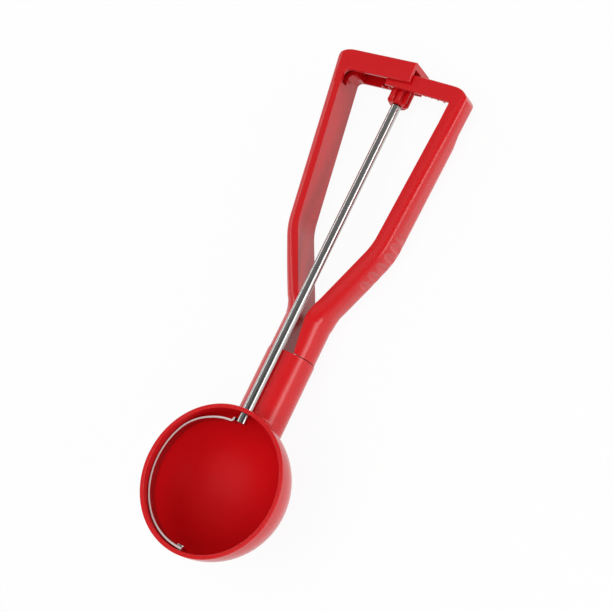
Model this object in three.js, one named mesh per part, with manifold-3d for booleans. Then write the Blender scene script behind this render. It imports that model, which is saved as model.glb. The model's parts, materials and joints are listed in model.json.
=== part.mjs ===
// Cookie scoop with a squeeze handle.
// Two sprung arms slide a toothed bar and a hood past each other. Both mesh with a
// pinion on a steel rod, and the rod swings a thin blade round the inside of the bowl.
//
// Working frame, in millimetres: the drive rod's axis is the X axis, the bowl's centre
// is the origin, the handle points along +X, the left arm lies on the +Y side and the
// bowl's mouth faces +Z. The finished group is turned and moved at the end, so that the
// scoop lies on its back on the plane z = 0, under the middle of its box.

import * as THREE from 'three';
import { mergeVertices } from 'three/addons/utils/BufferGeometryUtils.js';
import Module from 'manifold-3d';

const wasm = await Module();
wasm.setup();

const DEG = Math.PI / 180;
const RIGHT_ANGLE = Math.PI / 2;

// Clearances
const seat_gap = 0.3;               // between pieces that touch on the real scoop
const running_gap = 0.35;           // between pieces that slide past each other
const overrun = 1;                  // how far a cutter passes the face that it cuts

// Bowl
const bowl_radius = 29;             // outside
const bowl_wall = 1.7;
const rim_height = 2.8;             // rim above the rod's axis
const mouth_lip = 0.5;              // rounding of the rim's two edges

// Stem, one moulding with the bowl
const stem_radius = 9.8;
const stem_drop = 12.6;             // stem axis below the rod's axis
const stem_end = 55.8;              // stem's open end from the bowl's centre
const stem_wall = 1.6;

// Fork
const tenon_length = 24;
const tenon_chamfer = 1;
const wrist_radius = 9.5;
const wrist_slot_low = 4.6;         // half width of the slot between the wrists at the stem
const wrist_slot_high = 2.1;        // half width of the slot at the first bend
const first_bend_reach = 74;
const second_bend_reach = 106.2;
const second_bend_spread = 17.35;   // arm's inner face from the middle at the second bend
const far_end_rise = 1.08;          // middle of the arms' depth above the rod at the pinion
const arm_flare = 6.2 * DEG;        // spread of the upper arms to each side
const first_bend_length = 7;        // rounded stretch on either side of the first bend
const second_bend_length = 4;
const arm_thickness = 6.3;
const low_arm_thickness = 8.6;      // just after the first bend
const arm_depth = 15.2;             // front to back
const arm_roundness = 3.2;          // exponent of the arm's section, higher is squarer
const low_form_share = 0.55;        // how far the section has left the wrist's after the first bend
const high_form_share = 0.9;        // the same before the second bend

// Hood at the end of the left arm
const hood_low = 171.12;            // its open lower edge from the bowl's centre
const hood_high = 179.54;
const hood_open_end = 5.2;          // its open end, past the middle
const hood_wall = 1.6;
const hood_corner_radius = 8.5;
const hood_inner_radius = 3.2;

// Rack bar at the end of the right arm
const bar_low = 166.9;              // bar's lower edge at its arm, from the bowl's centre
const bar_high = 173.8;
const bar_tilt = 3 * DEG;           // how the bar climbs towards its free end
const bar_tip = 6;                  // bar's free end past the middle
const bar_corner_radius = 8;
const bar_inner_radius = 1.2;
const right_arm_inset = 0.5;        // right arm's inner face is this much nearer the middle
const neck_length = 5;              // where the right arm grows thin enough to enter the hood
const end_edge_radius = 0.8;        // rounded outer edges of the arms' far ends
const end_step = 0.05;              // far ends' flat faces below the arms' rounded edges

// Drive rod, pinion and racks
const rod_radius = 2;
const rod_inside = 3.9;             // rod's length inside the bowl
const spindle_radius = 1.35;        // rod's turned-down end inside the pinion
const gear_module = 0.95;
const pinion_teeth = 8;
const pinion_low = 163.2;
const pinion_high = 177;
const pressure_angle = 20 * DEG;
const tooth_backlash = 0.2;
const pinion_tooth_share = 0.62;    // pinion tooth's part of the tooth spacing
const pinion_tip_share = 0.84;      // tooth height above the pitch circle, in modules
const rack_tip_share = 0.5;
const rack_inlay = 0.5;             // how deep the teeth are rooted in their bar
const rack_set_back = 1.4;          // teeth from the bar's lower edge
const hood_teeth = 5;
const bar_teeth_past_middle = 1;
const bar_teeth_before_middle = 7;

// Scraper
const sweep = 162 * DEG;            // blade's full turn, which sets the squeeze
const blade_thickness = 0.6;
const blade_width = 3.6;
const blade_clearance = 0.5;        // between the blade and the bowl's inside
const blade_rest_tilt = 4.7 * DEG;
const blade_tab_length = 0.6;       // blade's end along the rod
const blade_tab_bend = 1;           // radius of the bend from the tab to the run
const blade_run_past = 0.4;         // run beyond the rod's end
const blade_leave = 60 * DEG;       // where the blade leaves the wall for the rod
const blade_ease = 7;               // how gently it curves away from the wall
const pivot_pin_radius = 0.8;
const pivot_head_radius = 1.7;
const pivot_head_length = 0.7;
const head_crown_share = 0.65;

// Worked out from the sizes above
const inner_radius = bowl_radius - bowl_wall;
const socket_radius = stem_radius - stem_wall;
const half_depth = arm_depth / 2;
const hollow_depth = half_depth - hood_wall;
const slide_depth = hollow_depth - running_gap;
const neck_reach = bar_low - bar_corner_radius;
const pinion_middle = (pinion_low + pinion_high) / 2;
const arm_rise = Math.atan2(stem_drop + far_end_rise, pinion_middle - first_bend_reach);
const rod_inner_end = inner_radius - rod_inside;
const pitch_radius = gear_module * pinion_teeth / 2;
const pinion_radius = pitch_radius + pinion_tip_share * gear_module;
const rack_root = pinion_radius + seat_gap;
const rack_tip = pitch_radius - rack_tip_share * gear_module;
const hinge_reach = stem_end + seat_gap;
const mesh_reach = (bar_low + bar_high) / 2 - hinge_reach;
const gear_ratio = mesh_reach / pitch_radius;
const squeeze = sweep / gear_ratio;
const tooth_step = 2 * Math.PI / pinion_teeth / gear_ratio;
const tooth_spacing = Math.PI * gear_module;
const blade_radius = inner_radius - blade_clearance - blade_thickness / 2;
const far = 2 * (stem_end + bar_high);

// Fineness of round shapes
const BOWL_SIDES = 56;
const STEM_SIDES = 48;
const ROD_SIDES = 32;
const PIN_SIDES = 24;
const QUARTER_STEPS = 14;
const LIP_STEPS = 3;
const SECTION_STEPS = 20;
const BEND_STEPS = 6;
const STRAIGHT_STEPS = 5;
const SWEEP_STEPS = 8;
const BLADE_STEPS = 26;
const HALVINGS = 40;
const WELD = 1e-5;

const RED = { color: 0xc8141a, roughness: 0.28, metalness: 0 };
const STEEL = { color: 0xb9babc, roughness: 0.25, metalness: 1 };
const MIRROR = new THREE.Matrix4().makeScale(1, -1, 1);

// Solids

function solid(geometry, matrix = new THREE.Matrix4()) {
  const plain = geometry.index ? geometry.toNonIndexed() : geometry.clone();
  plain.deleteAttribute('normal');
  plain.deleteAttribute('uv');
  plain.applyMatrix4(matrix);
  const merged = mergeVertices(plain, WELD);
  const corners = Array.from(merged.index.array);
  if (matrix.determinant() < 0) corners.reverse();
  const mesh = new wasm.Mesh({
    numProp: 3,
    vertProperties: new Float32Array(merged.attributes.position.array),
    triVerts: new Uint32Array(corners),
  });
  return new wasm.Manifold(mesh);
}

function union(...bodies) {
  return bodies.reduce((whole, body) => whole.add(body));
}

function geometryOf(body) {
  const made = body.getMesh();
  const geometry = new THREE.BufferGeometry();
  geometry.setAttribute('position', new THREE.Float32BufferAttribute(made.vertProperties, 3));
  geometry.setIndex(new THREE.Uint32BufferAttribute(made.triVerts, 1));
  return geometry;
}

function piece(name, body, finish) {
  const mesh = new THREE.Mesh(geometryOf(body), new THREE.MeshStandardMaterial(finish));
  mesh.name = name;
  return mesh;
}

function block(x0, x1, y0, y1, z0, z1) {
  const box = new THREE.BoxGeometry(x1 - x0, y1 - y0, z1 - z0);
  return box.translate((x0 + x1) / 2, (y0 + y1) / 2, (z0 + z1) / 2);
}

// A turned piece on an axis along X. Its profile runs from end to end as [x, radius].
function turned(profile, drop = 0, sides = ROD_SIDES) {
  const points = profile.map(([x, radius]) => new THREE.Vector2(radius, x));
  const matrix = new THREE.Matrix4().makeTranslation(0, 0, -drop);
  matrix.multiply(new THREE.Matrix4().makeRotationZ(-RIGHT_ANGLE));
  return solid(new THREE.LatheGeometry(points, sides), matrix);
}

function rod(x0, x1, radius, drop = 0, sides = ROD_SIDES) {
  return turned([[x0, 0], [x0, radius], [x1, radius], [x1, 0]], drop, sides);
}

// A flat outline in X and Y, thickened along Z, with rounded edges where edge is given.
function slab(shape, z0, z1, edge = 0) {
  const geometry = new THREE.ExtrudeGeometry(shape, {
    depth: z1 - z0 - 2 * edge,
    bevelEnabled: edge > 0,
    bevelThickness: edge,
    bevelSize: edge,
    bevelOffset: -edge,
    bevelSegments: LIP_STEPS,
    curveSegments: SWEEP_STEPS,
  });
  return geometry.translate(0, 0, z0 + edge);
}

// An outline in Y and Z, thickened along X. Side -1 turns it half round the X axis.
function prism(shape, x0, x1, side = 1) {
  const geometry = new THREE.ExtrudeGeometry(shape, { depth: x1 - x0, bevelEnabled: false });
  const matrix = new THREE.Matrix4().makeBasis(
    new THREE.Vector3(0, side, 0), new THREE.Vector3(0, 0, side), new THREE.Vector3(1, 0, 0));
  matrix.premultiply(new THREE.Matrix4().makeTranslation(x0, 0, 0));
  return geometry.applyMatrix4(matrix);
}

function turnAbout(x, y, angle) {
  const matrix = new THREE.Matrix4().makeTranslation(x, y, 0);
  matrix.multiply(new THREE.Matrix4().makeRotationZ(angle));
  return matrix.multiply(new THREE.Matrix4().makeTranslation(-x, -y, 0));
}

// Skins a row of rings, each with the same number of points, and closes both ends.
function loft(rings) {
  const count = rings[0].length;
  const positions = rings.flat().flatMap((point) => [point.x, point.y, point.z]);
  const triangles = [];
  for (let i = 0; i + 1 < rings.length; i += 1) {
    for (let j = 0; j < count; j += 1) {
      const a = i * count + j;
      const b = i * count + (j + 1) % count;
      triangles.push(a, b, b + count, a, b + count, a + count);
    }
  }
  const last = (rings.length - 1) * count;
  for (let j = 1; j + 1 < count; j += 1) {
    triangles.push(0, j + 1, j);
    triangles.push(last, last + j, last + j + 1);
  }
  const geometry = new THREE.BufferGeometry();
  geometry.setAttribute('position', new THREE.Float32BufferAttribute(positions, 3));
  geometry.setIndex(triangles);
  return geometry;
}

// Bowl and stem

// A bowl's half section as points of radius and height, closed on its axis at the top.
function cupProfile(radius, lip, top) {
  const points = [new THREE.Vector2(0, -radius)];
  for (let i = 1; i <= QUARTER_STEPS; i += 1) {
    const angle = RIGHT_ANGLE * (i / QUARTER_STEPS - 1);
    points.push(new THREE.Vector2(radius * Math.cos(angle), radius * Math.sin(angle)));
  }
  for (let i = 0; i <= LIP_STEPS; i += 1) {
    const angle = RIGHT_ANGLE * i / LIP_STEPS;
    points.push(new THREE.Vector2(
      radius + lip * (1 - Math.cos(angle)),
      rim_height - Math.abs(lip) * (1 - Math.sin(angle))));
  }
  if (top > rim_height) points.push(new THREE.Vector2(radius + lip, top));
  points.push(new THREE.Vector2(0, top));
  return points;
}

function cup(radius, lip, top) {
  const upright = new THREE.Matrix4().makeRotationX(RIGHT_ANGLE);
  return solid(new THREE.LatheGeometry(cupProfile(radius, lip, top), BOWL_SIDES), upright);
}

function makeBowl() {
  const outside = cup(bowl_radius, -mouth_lip, rim_height);
  const hollow = cup(inner_radius, mouth_lip, rim_height + overrun);
  const stem = rod(0, stem_end, stem_radius, stem_drop, STEM_SIDES);
  const socket = rod(stem_end - tenon_length - seat_gap, stem_end + overrun,
    socket_radius, stem_drop, STEM_SIDES);
  const rod_hole = rod(0, bowl_radius + overrun, rod_radius + seat_gap);
  const pin_hole = rod(-bowl_radius - overrun, 0, pivot_pin_radius + seat_gap, 0, PIN_SIDES);
  return union(outside, stem).subtract(union(hollow, socket, rod_hole, pin_hole));
}

// Fork

function makeTenon() {
  const radius = socket_radius - seat_gap;
  const start = stem_end - tenon_length;
  return turned([
    [start, 0],
    [start, radius - tenon_chamfer],
    [start + tenon_chamfer, radius],
    [stem_end, radius],
    [stem_end, 0],
  ], stem_drop, STEM_SIDES);
}

// Spread of an upper arm's inner face at a reach.
function innerSpread(reach) {
  return second_bend_spread + (reach - second_bend_reach) * Math.tan(arm_flare);
}

// Places along an arm's inner face. Form is 0 at the round wrist and 1 on the upper arm.
function armStations(inset, upper_reaches) {
  const wrist_end = first_bend_reach - first_bend_length / 2;
  const slot_taper = (wrist_slot_low - wrist_slot_high) / (first_bend_reach - hinge_reach);
  const slot = (reach) => wrist_slot_high + (first_bend_reach - reach) * slot_taper;
  const heading = Math.atan(
    (second_bend_spread - wrist_slot_high) / (second_bend_reach - first_bend_reach));
  const first_bend = new THREE.Vector2(first_bend_reach, wrist_slot_high);
  const second_bend = new THREE.Vector2(second_bend_reach, second_bend_spread);
  const low_way = new THREE.Vector2(Math.cos(heading), Math.sin(heading));
  const high_way = new THREE.Vector2(Math.cos(arm_flare), Math.sin(arm_flare));
  const low_start = first_bend.clone().addScaledVector(low_way, first_bend_length);
  const low_end = second_bend.clone().addScaledVector(low_way, -second_bend_length);
  const high_start = second_bend.clone().addScaledVector(high_way, second_bend_length);
  const stations = [];
  const place = (point, angle, form) => {
    stations.push({ reach: point.x, spread: point.y - inset * form, angle, form });
  };
  place(new THREE.Vector2(hinge_reach, slot(hinge_reach)), 0, 0);
  const wrist = new THREE.Vector2(wrist_end, slot(wrist_end));
  const first = new THREE.QuadraticBezierCurve(wrist, first_bend, low_start);
  for (let i = 0; i <= BEND_STEPS; i += 1) {
    const t = i / BEND_STEPS;
    place(first.getPoint(t), heading * t, low_form_share * t);
  }
  for (let i = 1; i < STRAIGHT_STEPS; i += 1) {
    const t = i / STRAIGHT_STEPS;
    const form = low_form_share + (high_form_share - low_form_share) * t;
    place(low_start.clone().lerp(low_end, t), heading, form);
  }
  const second = new THREE.QuadraticBezierCurve(low_end, second_bend, high_start);
  for (let i = 0; i <= BEND_STEPS; i += 1) {
    const t = i / BEND_STEPS;
    place(second.getPoint(t), heading + (arm_flare - heading) * t,
      high_form_share + (1 - high_form_share) * t);
  }
  upper_reaches.forEach((reach) => {
    place(new THREE.Vector2(reach, innerSpread(reach)), arm_flare, 1);
  });
  return stations;
}

// One ring: half of a round wrist at form 0, a flat-sided arm at form 1.
function armRing(station, front, back) {
  const { reach, spread, angle, form } = station;
  const rise = Math.max(0, reach - first_bend_reach) * Math.tan(arm_rise);
  const lean = arm_rise * Math.min(1, form / low_form_share);
  const slot = Math.min(spread, wrist_slot_low);
  const chord = Math.sqrt(wrist_radius ** 2 - slot ** 2);
  const power = 2 / arm_roundness;
  const fading = Math.min(1, (1 - form) / (1 - low_form_share));
  const thickness = arm_thickness + (low_arm_thickness - arm_thickness) * fading;
  const ring = [];
  for (let i = 0; i <= SECTION_STEPS; i += 1) {
    const turn = RIGHT_ANGLE * (2 * i / SECTION_STEPS - 1);
    const s = Math.sin(turn);
    const round_v = chord * s;
    const round_u = Math.sqrt(wrist_radius ** 2 - round_v ** 2) - slot;
    const square_v = (s > 0 ? front : back) * Math.sign(s) * Math.abs(s) ** power;
    const square_u = thickness * Math.abs(Math.cos(turn)) ** power;
    const u = i % SECTION_STEPS === 0 ? 0 : round_u + (square_u - round_u) * form;
    const v = round_v + (square_v - round_v) * form;
    ring.push(new THREE.Vector3(
      reach - u * Math.sin(angle) - v * Math.sin(lean),
      spread + u * Math.cos(angle),
      rise - stem_drop + v * Math.cos(lean)));
  }
  return ring;
}

// The arms' raised plane: its origin is on the stem's axis at the first bend.
function raised() {
  const matrix = new THREE.Matrix4().makeTranslation(first_bend_reach, 0, -stem_drop);
  return matrix.multiply(new THREE.Matrix4().makeRotationY(-arm_rise));
}

function raisedReach(reach, height) {
  return (reach - first_bend_reach) * Math.cos(arm_rise)
    + (height + stem_drop) * Math.sin(arm_rise);
}

// Spread of an upper arm's inner face at a reach in the raised plane.
function raisedSpread(reach) {
  return innerSpread(first_bend_reach + reach * Math.cos(arm_rise));
}

// How far a tilted crossbar has climbed from its arm's inner face, level at zero tilt.
function climb(from, to, tilt) {
  return (from - to) * Math.tan(tilt);
}

// An L: the outline of a crossbar and of the inner part of the arm that carries it.
function crossbarShape(low, high, past_middle, corner, spread, tilt = 0) {
  const foot = low - 2 * corner;
  const tip_climb = climb(spread(low), -past_middle, tilt);
  const shape = new THREE.Shape();
  shape.moveTo(low + tip_climb, -past_middle);
  shape.lineTo(high + tip_climb + overrun, -past_middle);
  shape.lineTo(high + overrun, spread(high) + corner / 2);
  shape.lineTo(foot, spread(foot) + corner / 2);
  shape.lineTo(foot, spread(foot));
  shape.lineTo(low - corner, spread(low - corner));
  shape.quadraticCurveTo(low, spread(low), low + climb(corner, 0, tilt), spread(low) - corner);
  return shape;
}

// The far end's outline: its outer corner is rounded and its inner side left open.
function endShape(high, radius, spread, tilt = 0) {
  const foot = high - 2 * arm_depth;
  const outer = (reach) => spread(reach) + arm_thickness / Math.cos(arm_flare);
  const top = (place) => high + climb(spread(high), place, tilt);
  const corner = outer(high);
  const shape = new THREE.Shape();
  shape.moveTo(foot, -2 * arm_depth);
  shape.lineTo(top(-2 * arm_depth), -2 * arm_depth);
  shape.lineTo(top(corner - radius), corner - radius);
  shape.quadraticCurveTo(top(corner), corner, high - radius, outer(high - radius));
  shape.lineTo(foot, outer(foot));
  return shape;
}

// Trims an arm's far end to its rounded outline and leaves the arm below it alone.
function trimEnd(arm, shape, depth, reach) {
  const face = depth - end_step;
  const end = solid(slab(shape, -face, face, end_edge_radius), raised());
  const below = solid(block(-far, reach, -far, far, -far, far), raised());
  return arm.intersect(end.add(below));
}

// A rack tooth points at the pinion from +Z and is closed where its bar takes its root.
function toothShape() {
  const half = ((1 - pinion_tooth_share) * tooth_spacing - tooth_backlash) / 2;
  const slope = Math.tan(pressure_angle);
  const tip = half - (pitch_radius - rack_tip) * slope;
  const root = half + (rack_root - pitch_radius) * slope;
  const shape = new THREE.Shape();
  shape.moveTo(-tip, rack_tip);
  shape.lineTo(tip, rack_tip);
  shape.lineTo(root, rack_root);
  shape.lineTo(root, rack_root + rack_inlay);
  shape.lineTo(-root, rack_root + rack_inlay);
  shape.lineTo(-root, rack_root);
  return shape;
}

// A row of teeth round an arm's hinge line, which is at the edge of its wrist.
function rackRow(x0, x1, side, first, last) {
  const tooth = prism(toothShape(), x0, x1, side);
  const teeth = [];
  for (let k = first; k <= last; k += 1) {
    teeth.push(solid(tooth, turnAbout(hinge_reach, wrist_slot_low, k * tooth_step)));
  }
  return union(...teeth);
}

// The room that the toothed bar sweeps in the left arm while the handle is squeezed.
function barRoom() {
  const low = raisedReach(bar_low, rack_tip) - 2 * running_gap;
  const high = raisedReach(bar_high, rack_root) + running_gap;
  const low_climb = climb(raisedSpread(low) - right_arm_inset, 0, bar_tilt);
  const tip_climb = climb(raisedSpread(high), -bar_tip, bar_tilt);
  const bar = solid(block(low + low_climb, high + tip_climb, 0, bar_tip + running_gap,
    -far, hollow_depth - end_step), raised());
  const front = solid(block(0, far, -far, far, rack_tip - running_gap, far));
  const room = geometryOf(bar.intersect(front));
  const places = [];
  for (let i = 0; i <= SWEEP_STEPS; i += 1) {
    const angle = squeeze * i / SWEEP_STEPS;
    const matrix = turnAbout(hinge_reach, wrist_slot_low, angle);
    matrix.multiply(turnAbout(hinge_reach, -wrist_slot_low, angle));
    places.push(solid(room, matrix));
  }
  return union(...places);
}

function makeLeftArm() {
  const low = (hood_low - first_bend_reach) / Math.cos(arm_rise);
  const high = (hood_high - first_bend_reach) / Math.cos(arm_rise);
  const arm = loft(armStations(0, [hood_high + arm_depth]).map((station) => (
    armRing(station, half_depth, half_depth))));
  const hood = slab(crossbarShape(low, high, hood_open_end, hood_inner_radius, raisedSpread),
    -half_depth - overrun, half_depth + overrun);
  const whole = trimEnd(union(solid(arm), solid(hood, raised())),
    endShape(high, hood_corner_radius, raisedSpread), half_depth, low - arm_depth);
  const channel = solid(block(low - arm_depth, high - hood_wall,
    -hood_open_end - overrun, raisedSpread(low) - hood_inner_radius,
    -arm_depth, hollow_depth), raised());
  const above_back = solid(block(0, far, -far, far, -rack_root, far));
  const rack_low = hood_low + half_depth * Math.sin(arm_rise);
  const rack = rackRow(rack_low, pinion_high, -1, 0, hood_teeth - 1);
  return whole.subtract(channel.intersect(above_back)).subtract(barRoom()).add(rack);
}

// The right arm is drawn on the left side and mirrored.
function makeRightArm() {
  const spread = (reach) => raisedSpread(reach) - right_arm_inset;
  const low = raisedReach(bar_low, rack_root);
  const high = raisedReach(bar_high, rack_root);
  const taper = (half_depth - slide_depth) / (neck_reach - second_bend_reach);
  const stations = armStations(right_arm_inset,
    [neck_reach - neck_length, neck_reach, bar_high + arm_depth]);
  const arm = loft(stations.map((station) => {
    const beyond = Math.max(0, Math.min(neck_reach, station.reach) - second_bend_reach);
    const back = station.reach < neck_reach ? half_depth : slide_depth;
    return armRing(station, half_depth - beyond * taper, back);
  }));
  const bar = solid(slab(crossbarShape(low, high, bar_tip, bar_inner_radius, spread, bar_tilt),
    -slide_depth - overrun, slide_depth + overrun), raised());
  const above_teeth = solid(block(0, far, -far, far, rack_root, far));
  const rack = rackRow(bar_low + rack_set_back, bar_high + bar_corner_radius, 1,
    -bar_teeth_past_middle, bar_teeth_before_middle);
  const whole = trimEnd(
    union(solid(arm), bar.intersect(above_teeth), bar.intersect(rack)),
    endShape(high, bar_corner_radius, spread, bar_tilt), slide_depth,
    raisedReach(neck_reach, -stem_drop));
  return solid(geometryOf(whole), MIRROR);
}

// Drive rod, pinion and scraper

function makeRod() {
  const neck = pinion_low - seat_gap;
  return turned([
    [rod_inner_end, 0],
    [rod_inner_end, rod_radius],
    [neck, rod_radius],
    [neck, spindle_radius],
    [pinion_high, spindle_radius],
    [pinion_high, 0],
  ]);
}

function pinionShape() {
  const base = pitch_radius * Math.cos(pressure_angle);
  const root = rack_tip - seat_gap;
  const involute = (angle) => Math.tan(angle) - angle;
  const half = (pinion_tooth_share * tooth_spacing - tooth_backlash) / 2 / pitch_radius;
  const flank = (radius) => (
    half + involute(pressure_angle) - involute(Math.acos(base / Math.max(radius, base))));
  const radii = [root, base, pitch_radius, (pitch_radius + pinion_radius) / 2, pinion_radius];
  const points = [];
  for (let k = 0; k < pinion_teeth; k += 1) {
    const middle = (2 * k + 1) * Math.PI / pinion_teeth;
    const up = radii.map((radius) => [radius, middle - flank(radius)]);
    const down = radii.map((radius) => [radius, middle + flank(radius)]).reverse();
    [...up, ...down].forEach(([radius, angle]) => {
      points.push(new THREE.Vector2(radius * Math.cos(angle), radius * Math.sin(angle)));
    });
  }
  return new THREE.Shape(points);
}

function makePinion() {
  const bore = rod(pinion_low - overrun, pinion_high + overrun, spindle_radius + seat_gap);
  return solid(prism(pinionShape(), pinion_low, pinion_high)).subtract(bore);
}

// The blade's middle line in a half plane of the rod's axis: along the rod, off the rod.
function bladeLine() {
  const run = rod_inner_end - blade_run_past;
  const tab = rod_radius + seat_gap + blade_thickness / 2;
  const points = [new THREE.Vector2(run + blade_tab_bend + blade_tab_length, tab)];
  for (let i = 0; i <= BEND_STEPS; i += 1) {
    const angle = RIGHT_ANGLE * i / BEND_STEPS;
    points.push(new THREE.Vector2(
      run + blade_tab_bend * (1 - Math.sin(angle)),
      tab + blade_tab_bend * (1 - Math.cos(angle))));
  }
  const onWall = (angle) => (
    new THREE.Vector2(blade_radius * Math.cos(angle), blade_radius * Math.sin(angle)));
  const start = new THREE.Vector2(run, tab + blade_tab_bend);
  const along = new THREE.Vector2(Math.sin(blade_leave), -Math.cos(blade_leave));
  const ease = new THREE.CubicBezierCurve(
    start,
    new THREE.Vector2(run, start.y + blade_ease),
    onWall(blade_leave).addScaledVector(along, blade_ease),
    onWall(blade_leave));
  points.push(...ease.getPoints(BEND_STEPS).slice(1));
  for (let i = 1; i <= BLADE_STEPS; i += 1) {
    points.push(onWall(blade_leave + (Math.PI - blade_leave) * i / BLADE_STEPS));
  }
  points.push(new THREE.Vector2(-blade_radius, -blade_width / 2));
  return points;
}

function bladeShape() {
  const line = bladeLine();
  const near = [];
  const off = [];
  line.forEach((point, i) => {
    const before = line[Math.max(0, i - 1)];
    const after = line[Math.min(line.length - 1, i + 1)];
    const along = after.clone().sub(before).normalize();
    const across = new THREE.Vector2(-along.y, along.x).multiplyScalar(blade_thickness / 2);
    near.push(point.clone().add(across));
    off.push(point.clone().sub(across));
  });
  return new THREE.Shape([...near, ...off.reverse()]);
}

function makeBlade() {
  const strip = solid(slab(bladeShape(), -blade_width / 2, blade_width / 2),
    new THREE.Matrix4().makeRotationX(-blade_rest_tilt));
  return strip.subtract(rod(-bowl_radius, 0, pivot_pin_radius + seat_gap, 0, PIN_SIDES));
}

function makePivotPin() {
  const head = seat_gap + blade_thickness / 2 - blade_radius;
  const outside = seat_gap - bowl_radius;
  const crown = pivot_head_radius * head_crown_share;
  return turned([
    [outside, 0],
    [outside, pivot_pin_radius],
    [head, pivot_pin_radius],
    [head, pivot_head_radius],
    [head + pivot_head_length / 2, pivot_head_radius],
    [head + pivot_head_length, crown],
    [head + pivot_head_length, 0],
  ], 0, PIN_SIDES);
}

const left_arm = makeLeftArm();
const right_arm = makeRightArm();

const scoop = new THREE.Group();
scoop.add(
  piece('bowl', makeBowl(), RED),
  piece('fork_tenon', makeTenon(), RED),
  piece('left_arm', left_arm, RED),
  piece('right_arm', right_arm, RED),
  piece('drive_rod', makeRod(), STEEL),
  piece('pinion', makePinion(), RED),
  piece('scraper_blade', makeBlade(), STEEL),
  piece('pivot_pin', makePivotPin(), STEEL),
);

// Lying angle: the wrists' heel and the hood's far edge touch the same plane.
function lyingAngle() {
  const arm = scoop.getObjectByName('left_arm').geometry.attributes.position;
  const lowest = (from, to, angle) => {
    let least = Infinity;
    for (let i = 0; i < arm.count; i += 1) {
      const x = arm.getX(i);
      if (x < from || x > to) continue;
      least = Math.min(least, arm.getZ(i) * Math.cos(angle) - x * Math.sin(angle));
    }
    return least;
  };
  let flat = 0;
  let steep = 2 * arm_rise;
  for (let i = 0; i < HALVINGS; i += 1) {
    const angle = (flat + steep) / 2;
    const heel = lowest(0, second_bend_reach, angle);
    if (lowest(second_bend_reach, far, angle) > heel) flat = angle;
    else steep = angle;
  }
  return flat;
}

scoop.rotation.y = lyingAngle();
const box = new THREE.Box3().setFromObject(scoop, true);
const middle = box.getCenter(new THREE.Vector3());
scoop.position.set(-middle.x, -middle.y, -box.min.z);

export default scoop;
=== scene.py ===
# %% [markdown]
# A cookie scoop is a round bowl on a stem, with a squeeze handle behind it. Squeezing slides
# a toothed bar and a toothed hood past a small gear on a steel rod, and the rod swings a
# thin blade round the inside of the bowl. Nearly all of it is glossy moulded plastic, so
# its looks depend on smooth surfaces and small, even edge rounding.
#
# The CAD model is a finished frame of faceted solids. Each piece is modelled again here, in
# the same place and with the same sizes, and takes the CAD solid's place in the picture.

# %% Load the frame
import json
import math

import bmesh
import bpy
from mathutils import Matrix, Vector


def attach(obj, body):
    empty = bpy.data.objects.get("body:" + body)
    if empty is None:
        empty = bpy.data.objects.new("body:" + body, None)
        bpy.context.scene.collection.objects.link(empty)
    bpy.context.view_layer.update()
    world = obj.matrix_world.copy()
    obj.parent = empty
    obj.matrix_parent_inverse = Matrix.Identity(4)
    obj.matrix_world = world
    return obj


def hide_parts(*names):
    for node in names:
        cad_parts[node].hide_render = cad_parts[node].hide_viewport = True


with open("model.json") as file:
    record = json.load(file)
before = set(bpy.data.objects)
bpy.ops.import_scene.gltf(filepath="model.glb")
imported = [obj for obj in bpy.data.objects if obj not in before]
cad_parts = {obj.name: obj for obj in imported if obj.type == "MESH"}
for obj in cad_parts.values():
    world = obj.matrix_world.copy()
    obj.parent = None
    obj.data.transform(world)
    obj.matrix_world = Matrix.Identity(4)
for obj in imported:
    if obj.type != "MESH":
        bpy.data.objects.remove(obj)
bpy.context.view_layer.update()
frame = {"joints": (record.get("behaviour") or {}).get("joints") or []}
bpy.ops.object.select_all(action="DESELECT")

# %% [markdown]
# The scoop lies on its back, a little tilted, which makes drawing awkward. It is easier to
# draw with the rod along X and the bowl's centre at the origin, then turn each finished
# piece into place. The rod's joint in the frame says where that is: its place is the bowl's
# centre, and its axis runs along the rod.

# %% Find how the scoop lies
MM = 0.001
TINY = 0.001 * MM
CLOSE = 0.01 * MM
RIGHT_ANGLE = math.pi / 2
rod_joint = next(j for j in frame["joints"] if j["name"] == "blade_sweep")
rod_way = -Vector(rod_joint["axis"])
tilt = math.atan2(-rod_way.z, rod_way.x)
LYING = Matrix.Translation(rod_joint["pos_m"]) @ Matrix.Rotation(tilt, 4, "Y")
print("the rod slopes by", round(math.degrees(tilt), 2), "degrees")

# %% [markdown]
# Most pieces start in one of three ways. A turned piece is a profile that is spun round an
# axis. A plate is a flat outline that is raised. A skin is a grid whose rows are bent round
# one section after another, as a sheet is rolled into a tube. Each helper here leaves an
# object with its faces pointing outwards. Points within TINY of each other are merged, and
# CLOSE is near enough to count as level.

# %% Helpers for selecting and finishing
def alone(obj):
    bpy.ops.object.select_all(action="DESELECT")
    obj.select_set(True)
    bpy.context.view_layer.objects.active = obj


def edit(obj):
    alone(obj)
    bpy.ops.object.mode_set(mode="EDIT")
    bpy.ops.mesh.select_mode(type="EDGE")
    bpy.ops.mesh.select_all(action="SELECT")


def done():
    bpy.ops.object.mode_set(mode="OBJECT")


def merge_and_face_out():
    bpy.ops.mesh.select_all(action="SELECT")
    bpy.ops.mesh.remove_doubles(threshold=TINY)
    bpy.ops.mesh.normals_make_consistent(inside=False)


def select_edges(obj, wanted):
    """Selects the edges for which wanted(first end, second end) is true."""
    bpy.ops.mesh.select_all(action="DESELECT")
    mesh = bmesh.from_edit_mesh(obj.data)
    for edge in mesh.edges:
        if wanted(edge.verts[0].co, edge.verts[1].co):
            edge.select_set(True)
    bmesh.update_edit_mesh(obj.data)


def round_edges(obj, radius, wanted, segments=3):
    edit(obj)
    select_edges(obj, wanted)
    bpy.ops.mesh.bevel(offset=radius, segments=segments, profile=0.5, clamp_overlap=True)
    done()


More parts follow.
